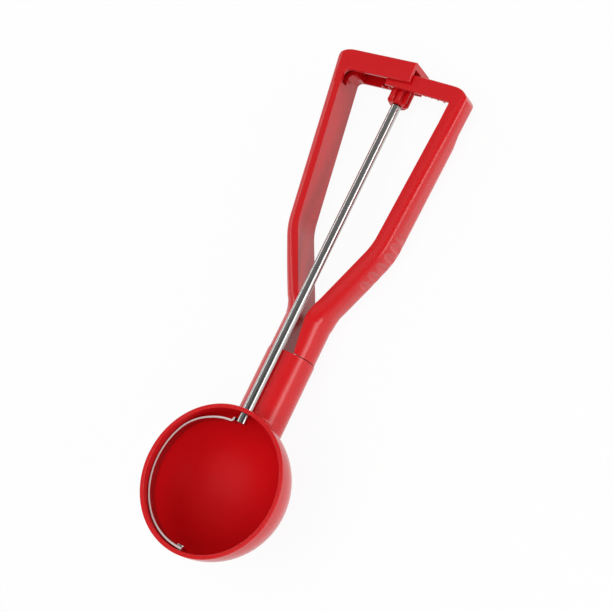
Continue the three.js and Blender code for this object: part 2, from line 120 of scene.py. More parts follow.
# %% Helpers for starting a piece
def plate(name, outline, low, high):
    """A filled circle whose corners are put on an outline in X and Y, then raised along Z."""
    bpy.ops.mesh.primitive_circle_add(vertices=len(outline), radius=MM, fill_type="NGON")
    obj = bpy.context.object
    obj.name = name
    for vertex, (x, y) in zip(obj.data.vertices, outline):
        vertex.co = (x, y, low)
    edit(obj)
    bpy.ops.mesh.extrude_region_move(TRANSFORM_OT_translate={"value": (0, 0, high - low)})
    merge_and_face_out()
    done()
    return obj


def skin(name, rings):
    """A grid whose rows are laid on rings of points, closed round and at both ends."""
    count = len(rings[0])
    bpy.ops.mesh.primitive_grid_add(
        x_subdivisions=count, y_subdivisions=len(rings) - 1, size=MM)
    obj = bpy.context.object
    obj.name = name
    places = [point for ring in rings for point in (*ring, ring[0])]
    for vertex, point in zip(obj.data.vertices, places):
        vertex.co = point
    edit(obj)
    bpy.ops.mesh.remove_doubles(threshold=TINY)
    bpy.ops.mesh.select_all(action="DESELECT")
    bpy.ops.mesh.select_non_manifold()
    bpy.ops.mesh.edge_face_add()
    merge_and_face_out()
    done()
    return obj


def turned(name, profile, axis="X", steps=96):
    """A profile of (along, radius) points, spun round an axis through the origin."""
    bpy.ops.mesh.primitive_circle_add(vertices=len(profile), radius=MM, fill_type="NOTHING")
    obj = bpy.context.object
    obj.name = name
    for vertex, (along, radius) in zip(obj.data.vertices, profile):
        vertex.co = (along, 0, radius) if axis == "X" else (radius, 0, along)
    edit(obj)
    on_axis = [v for v in profile if v[1] == 0]
    if len(on_axis) > 1:
        off = (lambda p: p.z) if axis == "X" else (lambda p: p.x)
        select_edges(obj, lambda a, b: max(off(a), off(b)) < 0.1 * TINY)
        bpy.ops.mesh.delete(type="EDGE_FACE")
    bpy.ops.mesh.select_all(action="SELECT")
    way = (1, 0, 0) if axis == "X" else (0, 0, 1)
    bpy.ops.mesh.spin(steps=steps, angle=2 * math.pi, center=(0, 0, 0), axis=way)
    merge_and_face_out()
    done()
    return obj


def put(obj, matrix):
    alone(obj)
    obj.matrix_world = matrix
    bpy.ops.object.transform_apply(location=True, rotation=True, scale=True)
    return obj


def box(x0, x1, y0, y1, z0, z1):
    bpy.ops.mesh.primitive_cube_add(size=1)
    obj = bpy.context.object
    obj.scale = (x1 - x0, y1 - y0, z1 - z0)
    obj.location = ((x0 + x1) / 2, (y0 + y1) / 2, (z0 + z1) / 2)
    bpy.ops.object.transform_apply(location=True, rotation=True, scale=True)
    return obj


def join_or_cut(target, tool, way):
    """Adds the tool to the target, cuts it away, or keeps what they share."""
    alone(target)
    step = target.modifiers.new("shape", "BOOLEAN")
    step.operation = way
    step.solver = "EXACT"
    step.object = tool
    bpy.ops.object.modifier_apply(modifier=step.name)
    bpy.data.objects.remove(tool, do_unlink=True)
    return target


# %% [markdown]
# All sizes are in metres. Two gaps come back in many places: seat_gap parts pieces
# that touch on the real scoop, and running_gap parts pieces that slide past each other. FAR
# makes a cutter larger than anything it cuts, and OVERRUN takes it just past a face.

# %% Sizes that several pieces share
seat_gap = 0.3 * MM
running_gap = 0.35 * MM
bowl_radius = 29 * MM
bowl_wall = 1.7 * MM
rim_height = 2.8 * MM
mouth_lip = 0.5 * MM
stem_radius = 9.8 * MM
stem_drop = 12.6 * MM
stem_end = 55.8 * MM
stem_wall = 1.6 * MM
rod_radius = 2 * MM
pin_radius = 0.8 * MM
inner_radius = bowl_radius - bowl_wall
STEM_LINE = Matrix.Translation((0, 0, -stem_drop))
FAR = 400 * MM
OVERRUN = 1 * MM

# %% [markdown]
# The bowl and its stem are one moulding. A lathe profile gives the bowl its true round
# shape: the outside first, then a hollow with a flared lip that is cut from it. The stem
# runs into the bowl with a small fillet. A ball that rolls in the corner and touches both
# surfaces gives the fillet's place at every angle, so the stem is a skin whose last rings
# follow that ball.

# %% Bowl outside and hollow
QUARTER_STEPS = 40
LIP_STEPS = 6
BOWL_SIDES = 144


def cup_profile(radius, lip, top):
    """Half of a cup's outline. A positive lip flares out at the rim, a negative one turns in."""
    points = [(-radius, 0.0)]
    for i in range(1, QUARTER_STEPS + 1):
        angle = RIGHT_ANGLE * (i / QUARTER_STEPS - 1)
        points.append((radius * math.sin(angle), radius * math.cos(angle)))
    for i in range(LIP_STEPS + 1):
        angle = RIGHT_ANGLE * i / LIP_STEPS
        height = rim_height - abs(lip) * (1 - math.sin(angle))
        points.append((height, radius + lip * (1 - math.cos(angle))))
    if top > rim_height:
        points.append((top, radius + lip))
    points.append((top, 0.0))
    return points


bowl = turned(
    "bowl_and_stem", cup_profile(bowl_radius, -mouth_lip, rim_height), "Z", BOWL_SIDES)
hollow = turned(
    "hollow", cup_profile(inner_radius, mouth_lip, rim_height + OVERRUN), "Z", BOWL_SIDES)

# %% Stem with its rolled fillet
fillet = 1.3 * MM
stem_edge = 0.35 * MM
STEM_RING_REACHES = [stem_end - 12 * MM, stem_end - 24 * MM]
stem_overlap = 4 * MM
AROUND = 96
STEM_EDGE_STEPS = 4
FILLET_STEPS = 8
FILLET_OVERSHOOT = 1.06


def stem_ring(x, radius):
    return [
        Vector((x, radius * math.cos(a), radius * math.sin(a) - stem_drop))
        for a in (2 * math.pi * i / AROUND for i in range(AROUND))]


def fillet_ring(share):
    """A ring of the fillet. It lies on the stem at share 0 and on the bowl at share 1."""
    ring = []
    for i in range(AROUND):
        angle = 2 * math.pi * i / AROUND
        off = stem_radius + fillet
        y = off * math.cos(angle)
        z = off * math.sin(angle) - stem_drop
        ball = Vector((math.sqrt((bowl_radius + fillet) ** 2 - y * y - z * z), y, z))
        to_stem = Vector((0, -math.cos(angle), -math.sin(angle)))
        to_bowl = -ball.normalized()
        way = to_stem.slerp(to_bowl, share)
        ring.append(ball + fillet * way)
    return ring


rings = [stem_ring(stem_end, stem_radius - stem_edge)]
for i in range(1, STEM_EDGE_STEPS + 1):
    angle = RIGHT_ANGLE * i / STEM_EDGE_STEPS
    rings.append(stem_ring(
        stem_end - stem_edge * (1 - math.cos(angle)),
        stem_radius - stem_edge * (1 - math.sin(angle))))
rings += [stem_ring(reach, stem_radius) for reach in STEM_RING_REACHES]
rings += [fillet_ring(i / FILLET_STEPS) for i in range(FILLET_STEPS + 1)]
last_ring = fillet_ring(FILLET_OVERSHOOT)
rings.append(last_ring)
rings.append([point * (1 - stem_overlap / bowl_radius) for point in last_ring])
stem = skin("stem", rings)
join_or_cut(bowl, stem, "UNION")
join_or_cut(bowl, hollow, "DIFFERENCE")
print("bowl and stem:", len(bowl.data.polygons), "faces")

# %% [markdown]
# Three round holes are cut next: the socket in the stem's open end, the rod's way through the
# near wall and the pin's way through the far wall.

# %% Socket and holes
tenon_length = 24 * MM
socket = turned("socket", [
    (stem_end - tenon_length - seat_gap, 0.0),
    (stem_end - tenon_length - seat_gap, stem_radius - stem_wall),
    (stem_end - stem_edge, stem_radius - stem_wall),
    (stem_end + OVERRUN, stem_radius - stem_wall + OVERRUN / 2),
    (stem_end + OVERRUN, 0.0)])
join_or_cut(bowl, put(socket, STEM_LINE), "DIFFERENCE")
rod_hole = turned("rod_hole", [
    (0.0, 0.0), (0.0, rod_radius + seat_gap),
    (bowl_radius + OVERRUN, rod_radius + seat_gap), (bowl_radius + OVERRUN, 0.0)])
join_or_cut(bowl, rod_hole, "DIFFERENCE")
pin_hole = turned("pin_hole", [
    (-bowl_radius - OVERRUN, 0.0), (-bowl_radius - OVERRUN, pin_radius + seat_gap),
    (0.0, pin_radius + seat_gap), (0.0, 0.0)], steps=48)
join_or_cut(bowl, pin_hole, "DIFFERENCE")

# %% [markdown]
# The fork's round root fills the stem's open end. Only its end face shows, between the two
# wrists, so a turned plug with a chamfered front is enough.

# %% Fork tenon
tenon_radius = stem_radius - stem_wall - seat_gap
tenon_chamfer = 1 * MM
tenon_edge = 0.4 * MM
tenon_corner = tenon_edge * 0.3
tenon = turned("fork_root", [
    (stem_end - tenon_length, 0.0),
    (stem_end - tenon_length, tenon_radius - tenon_chamfer),
    (stem_end - tenon_length + tenon_chamfer, tenon_radius),
    (stem_end - tenon_edge, tenon_radius),
    (stem_end - tenon_corner, tenon_radius - tenon_corner),
    (stem_end, tenon_radius - tenon_edge),
    (stem_end, 0.0)])
put(tenon, STEM_LINE)

# %% [markdown]
# Each arm starts as half of a round wrist, bends out, bends back and grows into a flat sided
# bar with rounded shoulders. Its section changes all the way, so an extrusion can't make it.
# Instead its skin is laid on sections along the arm's path. The rounded shoulders are a
# superellipse, a form between an ellipse and a rectangle, which keeps the highlight on
# them broad and soft, as on the photographed handle.

# %% Arm path
wrist_radius = 9.5 * MM
wrist_slot_low = 4.6 * MM
wrist_slot_high = 2.1 * MM
first_bend_reach = 74 * MM
second_bend_reach = 106.2 * MM
second_bend_spread = 17.35 * MM
far_end_rise = 1.08 * MM
arm_flare = math.radians(6.2)
first_bend_length = 7 * MM
second_bend_length = 4 * MM
wrist_straight = 4 * MM
pinion_low = 163.2 * MM
pinion_high = 177 * MM
pinion_middle = (pinion_low + pinion_high) / 2
arm_rise = math.atan2(stem_drop + far_end_rise, pinion_middle - first_bend_reach)
hinge_reach = stem_end + seat_gap
low_form = 0.55
high_form = 0.9
BEND_STEPS = 14
STRAIGHT_STEPS = 8
UPPER_STEPS = 6


def inner_spread(reach):
    return second_bend_spread + (reach - second_bend_reach) * math.tan(arm_flare)


def bend_point(a, b, c, t):
    return a * (1 - t) ** 2 + b * 2 * t * (1 - t) + c * t * t


def arm_path(inset, upper_end):
    """Rows of reach, spread of the inner face, angle and form, from the wrist to the far end."""
    taper = (wrist_slot_low - wrist_slot_high) / (first_bend_reach - hinge_reach)

    def slot(reach):
        return wrist_slot_high + (first_bend_reach - reach) * taper

    heading = math.atan2(
        second_bend_spread - wrist_slot_high, second_bend_reach - first_bend_reach)
    first = Vector((first_bend_reach, wrist_slot_high))
    second = Vector((second_bend_reach, second_bend_spread))
    low_way = Vector((math.cos(heading), math.sin(heading)))
    high_way = Vector((math.cos(arm_flare), math.sin(arm_flare)))
    low_start = first + low_way * first_bend_length
    low_end = second - low_way * second_bend_length
    high_start = second + high_way * second_bend_length
    wrist_end = first_bend_reach - first_bend_length / 2
    wrist = Vector((wrist_end, slot(wrist_end)))
    rows = []

    def add(point, angle, form):
        rows.append((point.x, point.y - inset * form, angle, form))

    for reach in (hinge_reach, hinge_reach + wrist_straight):
        add(Vector((reach, slot(reach))), 0.0, 0.0)
    for i in range(BEND_STEPS + 1):
        t = i / BEND_STEPS
        add(bend_point(wrist, first, low_start, t), heading * t, low_form * t)
    for i in range(1, STRAIGHT_STEPS):
        t = i / STRAIGHT_STEPS
        add(low_start.lerp(low_end, t), heading, low_form + (high_form - low_form) * t)
    for i in range(BEND_STEPS + 1):
        t = i / BEND_STEPS
        form = high_form + (1 - high_form) * t
        angle = heading + (arm_flare - heading) * t
        add(bend_point(low_end, second, high_start, t), angle, form)
    for i in range(1, UPPER_STEPS + 1):
        reach = high_start.x + (upper_end - high_start.x) * i / UPPER_STEPS
        add(Vector((reach, inner_spread(reach))), arm_flare, 1.0)
    return rows


# %% [markdown]
# Form 0 is the wrist's round half section and form 1 the flat sided bar's. In a section, u
# runs from the flat inner face outwards and v from the back to the front.

# %% Arm sections
arm_thickness = 6.3 * MM
low_arm_thickness = 8.6 * MM
arm_depth = 15.2 * MM
half_depth = arm_depth / 2
arm_roundness = 3.2
arm_edge = 0.6 * MM
LONG_EDGE_RUN = 0.2 * MM
LONG_EDGE_RISE = 4 * MM
SECTION_STEPS = 44


def arm_ring(row, front, back):
    """The section at one row of the path, front and back being its depth on either side."""
    reach, spread, angle, form = row
    rise = max(0.0, reach - first_bend_reach) * math.tan(arm_rise)
    lean = arm_rise * min(1.0, form / low_form)
    slot = min(spread, wrist_slot_low)
    chord = math.sqrt(wrist_radius ** 2 - slot ** 2)
    power = 2 / arm_roundness
    fading = min(1.0, (1 - form) / (1 - low_form))
    thickness = arm_thickness + (low_arm_thickness - arm_thickness) * fading
    ring = []
    for i in range(SECTION_STEPS + 1):
        turn = RIGHT_ANGLE * (2 * i / SECTION_STEPS - 1)
        s = math.sin(turn)
        round_v = chord * s
        round_u = math.sqrt(wrist_radius ** 2 - round_v ** 2) - slot
        square_v = (front if s > 0 else back) * math.copysign(abs(s) ** power, s)
        square_u = thickness * abs(math.cos(turn)) ** power
        at_end = i in (0, SECTION_STEPS)
        u = 0.0 if at_end else round_u + (square_u - round_u) * form
        v = round_v + (square_v - round_v) * form
        ring.append(Vector((
            reach - u * math.sin(angle) - v * math.sin(lean),
            spread + u * math.cos(angle),
            rise - stem_drop + v * math.cos(lean))))
    return ring


def arm_skin(name, rows, depth_of):
    """An arm's skin. The two long edges of its flat inner face are then rounded."""
    rings = [arm_ring(row, *depth_of(row)) for row in rows]
    obj = skin(name, rings)
    ends = {tuple(round(c / MM, 3) for c in ring[k]) for ring in rings for k in (0, -1)}

    def long_edge(a, b):
        here = tuple(round(c / MM, 3) for c in a)
        there = tuple(round(c / MM, 3) for c in b)
        apart = a - b
        return (here in ends and there in ends and abs(apart.x) > LONG_EDGE_RUN
                and abs(apart.z) < LONG_EDGE_RISE)

    round_edges(obj, arm_edge, long_edge)
    return obj


# %% [markdown]
# The far ends are drawn in the arms' own raised plane, where their outlines are flat: an L
# for the hood or the bar and the inner part of its arm, and a rounded corner outside. The
# hood is then hollowed, so that the bar can slide in it.

# %% Outlines of the far ends
hood_wall = 1.6 * MM
hollow_depth = half_depth - hood_wall
slide_depth = hollow_depth - 1.4 * running_gap
INNER_CORNER_STEPS = 10
OUTER_CORNER_STEPS = 24
tuck = 0.02 * MM
end_edge = 0.8 * MM
end_step = 0.05 * MM
hood_face = half_depth - end_step
bar_face = slide_depth - end_step
trim_step = 0.005 * MM
RAISED = (Matrix.Translation((first_bend_reach, 0, -stem_drop))
          @ Matrix.Rotation(-arm_rise, 4, "Y"))


def raised_reach(reach, height):
    """How far along the raised plane a point of the drawing position lies."""
    return ((reach - first_bend_reach) * math.cos(arm_rise)
            + (height + stem_drop) * math.sin(arm_rise))


def raised_spread(reach):
    """Spread of the arm's inner face at a reach in the raised plane."""
    return inner_spread(first_bend_reach + reach * math.cos(arm_rise))


def curve(a, b, c, steps):
    a, b, c = Vector(a), Vector(b), Vector(c)
    return [tuple(bend_point(a, b, c, i / steps)) for i in range(steps + 1)]


def crossbar_outline(low, high, past_middle, corner, spread, slope=0.0):
    """The slope makes the bar climb, little by little, towards its free end."""
    foot = low - 2 * corner
    climb = (spread(low) + past_middle) * math.tan(slope)
    points = [
        (low + climb, -past_middle),
        (high + climb + OVERRUN, -past_middle),
        (high + OVERRUN, spread(high) + arm_thickness / 2),
        (foot, spread(foot) + arm_thickness / 2)]
    return points + curve(
        (low - corner, spread(low - corner) + tuck), (low, spread(low)),
        (low + corner * math.tan(slope), spread(low) - corner), INNER_CORNER_STEPS)


def end_outline(high, radius, spread, slope=0.0):
    """The arm's outside, its rounded corner and the far end of its crossbar."""
    foot = high - 2 * arm_depth

    def outer(reach):
        return spread(reach) + arm_thickness / math.cos(arm_flare)

    def top(place):
        return high + (spread(high) - place) * math.tan(slope)

    corner = outer(high)
    points = [(foot, -2 * arm_depth), (top(-2 * arm_depth), -2 * arm_depth)]
    points += curve(
        (top(corner - radius), corner - radius), (top(corner), corner),
        (high - radius, outer(high - radius)), OUTER_CORNER_STEPS)
    return points + [(foot, outer(foot))]


def crossbar(name, outline, face):
    """A plate for a crossbar. The edges round its opening are rounded, on both faces."""
    obj = plate(name, outline, -face, face)
    inner = outline[4:] + outline[:2]

    def on_inner_edge(p):
        return any(math.hypot(p.x - x, p.y - y) < 2 * TINY for x, y in inner)

    round_edges(obj, arm_edge, lambda a, b: abs(a.z - b.z) < TINY
                and on_inner_edge(a) and on_inner_edge(b), segments=4)
    return obj


def trim_end(arm, outline, face, reach):
    """Trims an arm's far end to its rounded outline and leaves the arm below it alone."""
    end = plate("end", outline, -face, face)
    round_edges(end, end_edge, lambda a, b: abs(a.z - b.z) < TINY, segments=5)
    put(end, RAISED)
    below = put(box(-FAR, reach, -FAR, FAR, -FAR, FAR), RAISED)
    join_or_cut(end, below, "UNION")
    return join_or_cut(arm, end, "INTERSECT")


# %% [markdown]
# The pinion has eight fat teeth, and each rack tooth is a wedge that fits between two of
# them. One rack tooth is modelled from a cube with a narrower tip, and the others are
# copies of it, turned round the arm's hinge line by one tooth step each, because the arm
# swings rather than slides.

# %% Gear sizes and rack teeth
gear_module = 0.95 * MM
pinion_teeth = 8
pressure_angle = math.radians(20)
tooth_backlash = 0.2 * MM
pinion_tip_share = 0.84
rack_tip_share = 0.5
pitch_radius = gear_module * pinion_teeth / 2
pinion_radius = pitch_radius + pinion_tip_share * gear_module
rack_root = pinion_radius + seat_gap
rack_tip = pitch_radius - rack_tip_share * gear_module
rack_inlay = 0.5 * MM
rack_set_back = 1.4 * MM
rack_tooth_edge = 0.22 * MM
HOOD_TEETH = (0, 4)
BAR_TEETH = (-1, 7)
bar_low = 166.9 * MM
bar_high = 173.8 * MM
bar_slope = math.radians(3)
pinion_share = 0.62
tooth_spacing = math.pi * gear_module
gear_ratio = ((bar_low + bar_high) / 2 - hinge_reach) / pitch_radius
blade_turn = math.radians(162)
squeeze = blade_turn / gear_ratio
tooth_step = 2 * math.pi / pinion_teeth / gear_ratio


def turn_about(x, y, angle):
    return (Matrix.Translation((x, y, 0)) @ Matrix.Rotation(angle, 4, "Z")
            @ Matrix.Translation((-x, -y, 0)))


def rack(x0, x1, side, first, last):
    """Teeth numbered from the middle, in front of the pinion (1) or behind it (-1)."""
    half = ((1 - pinion_share) * tooth_spacing - tooth_backlash) / 2
    slope = math.tan(pressure_angle)
    tip = half - (pitch_radius - rack_tip) * slope
    root = half + (rack_root + rack_inlay - pitch_radius) * slope
    tooth = box(x0, x1, -root, root, rack_tip, rack_root + rack_inlay)
    edit(tooth)
    select_edges(tooth, lambda a, b: max(a.z, b.z) < rack_tip + CLOSE)
    bpy.ops.transform.resize(
        value=(1, tip / root, 1), center_override=((x0 + x1) / 2, 0, rack_tip))
    done()
    round_edges(tooth, rack_tooth_edge, lambda a, b: max(a.z, b.z) < rack_tip + CLOSE
                and abs(a.y - b.y) < CLOSE)
    if side < 0:
        put(tooth, Matrix.Rotation(math.pi, 4, "X"))
    row = [tooth]
    for k in range(first, last + 1):
        copy = tooth.copy()
        copy.data = tooth.data.copy()
        bpy.context.collection.objects.link(copy)
        row.append(put(copy, turn_about(hinge_reach, wrist_slot_low, k * tooth_step)))
    bpy.data.objects.remove(tooth, do_unlink=True)
    whole = row[1]
    alone(whole)
    for other in row[2:]:
        other.select_set(True)
    bpy.ops.object.join()
    return whole


# %% [markdown]
# Six shallow grooves cross the outside of each arm at its second bend, where the fingers
# press. Each is cut with a thin round bar that lies across the arm. Because the arm's side
# curves away to its shoulders, a straight cut comes out lens shaped.

# %% Grip grooves
groove_radius = 2.2 * MM
groove_depth = 0.65 * MM
GROOVES = 6
GROOVE_START = 91.3
GROOVE_STEP = 4.3
GROOVE_REACHES = [(GROOVE_START + GROOVE_STEP * i) * MM for i in range(GROOVES)]


def cut_grooves(arm, rows):
    middles = [
        (arm_ring(row, half_depth, half_depth)[SECTION_STEPS // 2], row[2]) for row in rows]
    for reach in GROOVE_REACHES:
        place, angle = min(middles, key=lambda m: abs(m[0].x - reach))
        out = Vector((-math.sin(angle), math.cos(angle), 0))
        centre = place + out * (groove_radius - groove_depth)
        centre += Vector((math.cos(angle), math.sin(angle), 0)) * (reach - place.x)
        bpy.ops.mesh.primitive_cylinder_add(
            vertices=64, radius=groove_radius, depth=2 * arm_depth, location=centre,
            rotation=(0, -arm_rise, 0))
        join_or_cut(arm, bpy.context.object, "DIFFERENCE")


# %% [markdown]
# The left arm's skin runs past its far end. The hood is joined to it, the end is trimmed to
# the rounded outline, and a channel is cut. The channel's cutter lacks the shape of the rack,
# so the rack's teeth are left standing on the channel's back wall.

# %% Left arm with its hood
hood_low = 171.12 * MM
hood_high = 179.54 * MM
hood_open_end = 5.2 * MM
hood_end_wall = 2.5 * MM
hood_corner = 8.5 * MM
hood_inner_corner = 3.2 * MM
low = (hood_low - first_bend_reach) / math.cos(arm_rise)
high = (hood_high - first_bend_reach) / math.cos(arm_rise)
path = arm_path(0.0, hood_high + arm_depth)
left_arm = arm_skin("left_arm_with_hood", path, lambda row: (half_depth, half_depth))
cut_grooves(left_arm, path)
outline = crossbar_outline(low, high, hood_open_end, hood_inner_corner, raised_spread)
hood = put(crossbar("hood", outline, hood_face), RAISED)
join_or_cut(left_arm, hood, "UNION")
trim_end(left_arm, end_outline(high, hood_corner, raised_spread),
         hood_face + trim_step, low - arm_depth)
channel = put(box(
    low - arm_depth, high - hood_end_wall, -hood_open_end - OVERRUN,
    raised_spread(low) - hood_inner_corner, -arm_depth, hollow_depth), RAISED)
join_or_cut(channel, box(0, FAR, -FAR, FAR, -rack_root, FAR), "INTERSECT")
hood_rack = rack(hood_low + half_depth * math.sin(arm_rise), pinion_high, -1, *HOOD_TEETH)
join_or_cut(channel, hood_rack, "DIFFERENCE")
join_or_cut(left_arm, channel, "DIFFERENCE")

# %% [markdown]
# The bar runs further into the left arm as the handle closes. The room for it is the outline
# that the bar's free end sweeps, seen from the left arm, with a gap all round. That last cut
# can leave a slit one triangle wide, which is filled.

# %% Room for the bar in the left arm
bar_tip = 6 * MM
SWEEP_STEPS = 8
right_arm_inset = 0.5 * MM
room_low = raised_reach(bar_low, rack_tip) - 2 * running_gap
room_low += (raised_spread(room_low) - right_arm_inset) * math.tan(bar_slope)
room_high = raised_reach(bar_high, rack_root) + running_gap
room_high += (raised_spread(room_high) + bar_tip) * math.tan(bar_slope)
room_height = (rack_tip + rack_root) / 2


def in_left_arm(reach, y, share):
    """Where a point of the bar is, seen from the left arm, after a share of the squeeze."""
    angle = squeeze * share
    x = first_bend_reach + (
        reach - (room_height + stem_drop) * math.sin(arm_rise)) / math.cos(arm_rise)
    place = (turn_about(hinge_reach, wrist_slot_low, angle)
             @ turn_about(hinge_reach, -wrist_slot_low, angle) @ Vector((x, y, room_height)))
    return raised_reach(place.x, place.z), place.y


shares = [i / SWEEP_STEPS for i in range(SWEEP_STEPS + 1)]
outline = [(room_low, 0.0)]
room_tip = bar_tip + running_gap
outline += [in_left_arm(room_low, room_tip, share) for share in shares]
outline += [in_left_arm(room_high, room_tip, share) for share in reversed(shares)]
outline.append((room_high, 0.0))
room = put(plate("room", outline, -arm_depth, hollow_depth - end_step), RAISED)
join_or_cut(room, box(0, FAR, -FAR, FAR, rack_tip - running_gap, FAR), "INTERSECT")
join_or_cut(left_arm, room, "DIFFERENCE")
edit(left_arm)
bpy.ops.mesh.fill_holes(sides=3)
done()
print("left arm:", len(left_arm.data.polygons), "faces")

# %% [markdown]
# The right arm is drawn on the left side too and mirrored at the end. It grows thinner from
# its second bend, so that its bar fits between the hood's walls. Its teeth are left standing
# in the same way, on the side of the bar that faces the pinion.

# %% Right arm with its toothed bar
neck_length = 5 * MM
neck_clear_below = 8 * MM
neck_clear_above = 4 * MM
bar_corner = 8 * MM
bar_inner_corner = 1.2 * MM
neck_reach = bar_low - bar_corner


def right_spread(reach):
    return raised_spread(reach) - right_arm_inset


def right_depths(row):
    reach = row[0]
    beyond = max(0.0, min(neck_reach, reach) - second_bend_reach)
    front = half_depth - beyond * (half_depth - slide_depth) / (neck_reach - second_bend_reach)
    thinning = min(1.0, max(0.0, (reach - neck_reach + neck_length) / neck_length))
    return front, half_depth + (slide_depth - half_depth) * thinning


path = arm_path(right_arm_inset, bar_high + arm_depth)
path = [
    row for row in path
    if not neck_reach - neck_clear_below < row[0] < neck_reach + neck_clear_above]
for reach in (neck_reach - neck_length, neck_reach):
    path.append((reach, inner_spread(reach) - right_arm_inset, arm_flare, 1.0))
path.sort()
right_arm = arm_skin("right_arm_with_bar", path, right_depths)
cut_grooves(right_arm, path)
low = raised_reach(bar_low, rack_root)
high = raised_reach(bar_high, rack_root)
outline = crossbar_outline(low, high, bar_tip, bar_inner_corner, right_spread, bar_slope)
bar = put(crossbar("bar", outline, bar_face), RAISED)
below = box(0, FAR, -FAR, FAR, -FAR, rack_root)
bar_rack = rack(bar_low + rack_set_back, bar_high + bar_corner, 1, *BAR_TEETH)
join_or_cut(below, bar_rack, "DIFFERENCE")
join_or_cut(bar, below, "DIFFERENCE")
join_or_cut(right_arm, bar, "UNION")
trim_end(right_arm, end_outline(high, bar_corner, right_spread, bar_slope),
         bar_face + trim_step, raised_reach(neck_reach, -stem_drop))
alone(right_arm)
right_arm.scale = (1, -1, 1)
bpy.ops.object.transform_apply(location=True, rotation=True, scale=True)
edit(right_arm)
bpy.ops.mesh.normals_make_consistent(inside=False)
done()
print("right arm:", len(right_arm.data.polygons), "faces")

# %% [markdown]
# The drive rod is plain bright steel wire. Its far end is turned down to a spindle inside
# the pinion. A lathe profile with tiny chamfers gives each end the thin bright ring that
# cut wire has.

# %% Drive rod
rod_inside = 3.9 * MM
rod_inner_end = inner_radius - rod_inside
spindle_radius = 1.35 * MM
rod_chamfer = 0.25 * MM
rod_corner = rod_chamfer * 0.35
neck = pinion_low - seat_gap
pinion_cut_back = 0.7 * MM
pinion_end = pinion_high - pinion_cut_back
rod = turned("drive_wire", [
    (rod_inner_end, 0.0),
    (rod_inner_end, rod_radius - rod_chamfer),
    (rod_inner_end + rod_corner, rod_radius - rod_corner),
    (rod_inner_end + rod_chamfer, rod_radius),
    (neck - rod_chamfer, rod_radius),
    (neck, rod_radius - rod_chamfer),
    (neck, spindle_radius),
    (pinion_end - rod_chamfer, spindle_radius),
    (pinion_end, spindle_radius - rod_chamfer),
    (pinion_end, 0.0)], steps=64)

# %% [markdown]
# The pinion is moulded with fat rounded teeth. Its outline is drawn flat, with involute
# flanks that let the racks roll on it, and the outline is raised along the rod. The end
# that shows is well rounded, so the gear is kept inside a turned form with a domed shoulder.

# %% Pinion
tooth_tip_edge = 0.44 * MM
tooth_end_edge = 0.25 * MM
DOME_STEPS = 12


def pinion_outline():
    base = pitch_radius * math.cos(pressure_angle)
    root = rack_tip - seat_gap

    def involute(angle):
        return math.tan(angle) - angle

    half = (pinion_share * tooth_spacing - tooth_backlash) / 2 / pitch_radius

    def flank(radius):
        reach = max(radius, base)
        return half + involute(pressure_angle) - involute(math.acos(base / reach))

    radii = [root, base, (base + pitch_radius) / 2, pitch_radius,
             (pitch_radius + pinion_radius) / 2, pinion_radius]
    points = []
    for k in range(pinion_teeth):
        middle = (2 * k + 1) * math.pi / pinion_teeth
        up = [(r, middle - flank(r)) for r in radii]
        down = [(r, middle + flank(r)) for r in reversed(radii)]
        points += [(r * math.cos(a), r * math.sin(a)) for r, a in up + down]
    return points


pinion = plate("pinion_gear", pinion_outline(), 0.0, pinion_end - pinion_low)


def on_tip(p):
    return math.hypot(p.x, p.y) > pinion_radius - CLOSE


def upright(a, b):
    return abs(a.z - b.z) > 1 * MM


round_edges(
    pinion, tooth_tip_edge, lambda a, b: upright(a, b) and on_tip(a) and on_tip(b), segments=5)
round_edges(pinion, tooth_end_edge, lambda a, b: abs(a.z - b.z) < CLOSE)
quarter_turn = Matrix(((0, 0, 1, 0), (1, 0, 0, 0), (0, 1, 0, 0), (0, 0, 0, 1)))
put(pinion, Matrix.Translation((pinion_low, 0, 0)) @ quarter_turn)
bore = turned("bore", [
    (pinion_low - OVERRUN, 0.0), (pinion_low - OVERRUN, spindle_radius + seat_gap),
    (pinion_end + OVERRUN, spindle_radius + seat_gap), (pinion_end + OVERRUN, 0.0)], steps=48)
join_or_cut(pinion, bore, "DIFFERENCE")
dome_length = 2 * MM
dome_start = 2.5 * MM
dome_radius = pinion_radius + 0.15 * MM
dome = [(pinion_low - OVERRUN, 0.0), (pinion_low - OVERRUN, dome_start)]
for i in range(DOME_STEPS + 1):
    angle = RIGHT_ANGLE * i / DOME_STEPS
    dome.append((
        pinion_low + dome_length * (1 - math.cos(angle)),
        dome_start + (dome_radius - dome_start) * math.sin(angle)))
dome += [(pinion_end + OVERRUN, dome_radius), (pinion_end + OVERRUN, 0.0)]
join_or_cut(pinion, turned("dome", dome, steps=48), "INTERSECT")

# %% [markdown]
# The scraper blade is one thin strip. A short tab lies along the rod, where it is welded,
# then the strip turns off, eases onto the bowl's wall and follows it to the pivot pin. Its
# outline is drawn flat from its middle line, and raised to the strip's width.

# %% Scraper blade
blade_thickness = 0.8 * MM
blade_width = 3.6 * MM
blade_clearance = 0.5 * MM
blade_tilt = math.radians(4.7)
tab_length = 0.6 * MM
tab_bend = 1 * MM
run_past = 0.4 * MM
blade_leave = math.radians(60)
blade_ease = 7 * MM
blade_edge = 0.12 * MM
TAB_STEPS = 10
EASE_STEPS = 14
WALL_STEPS = 60
blade_radius = inner_radius - blade_clearance - blade_thickness / 2


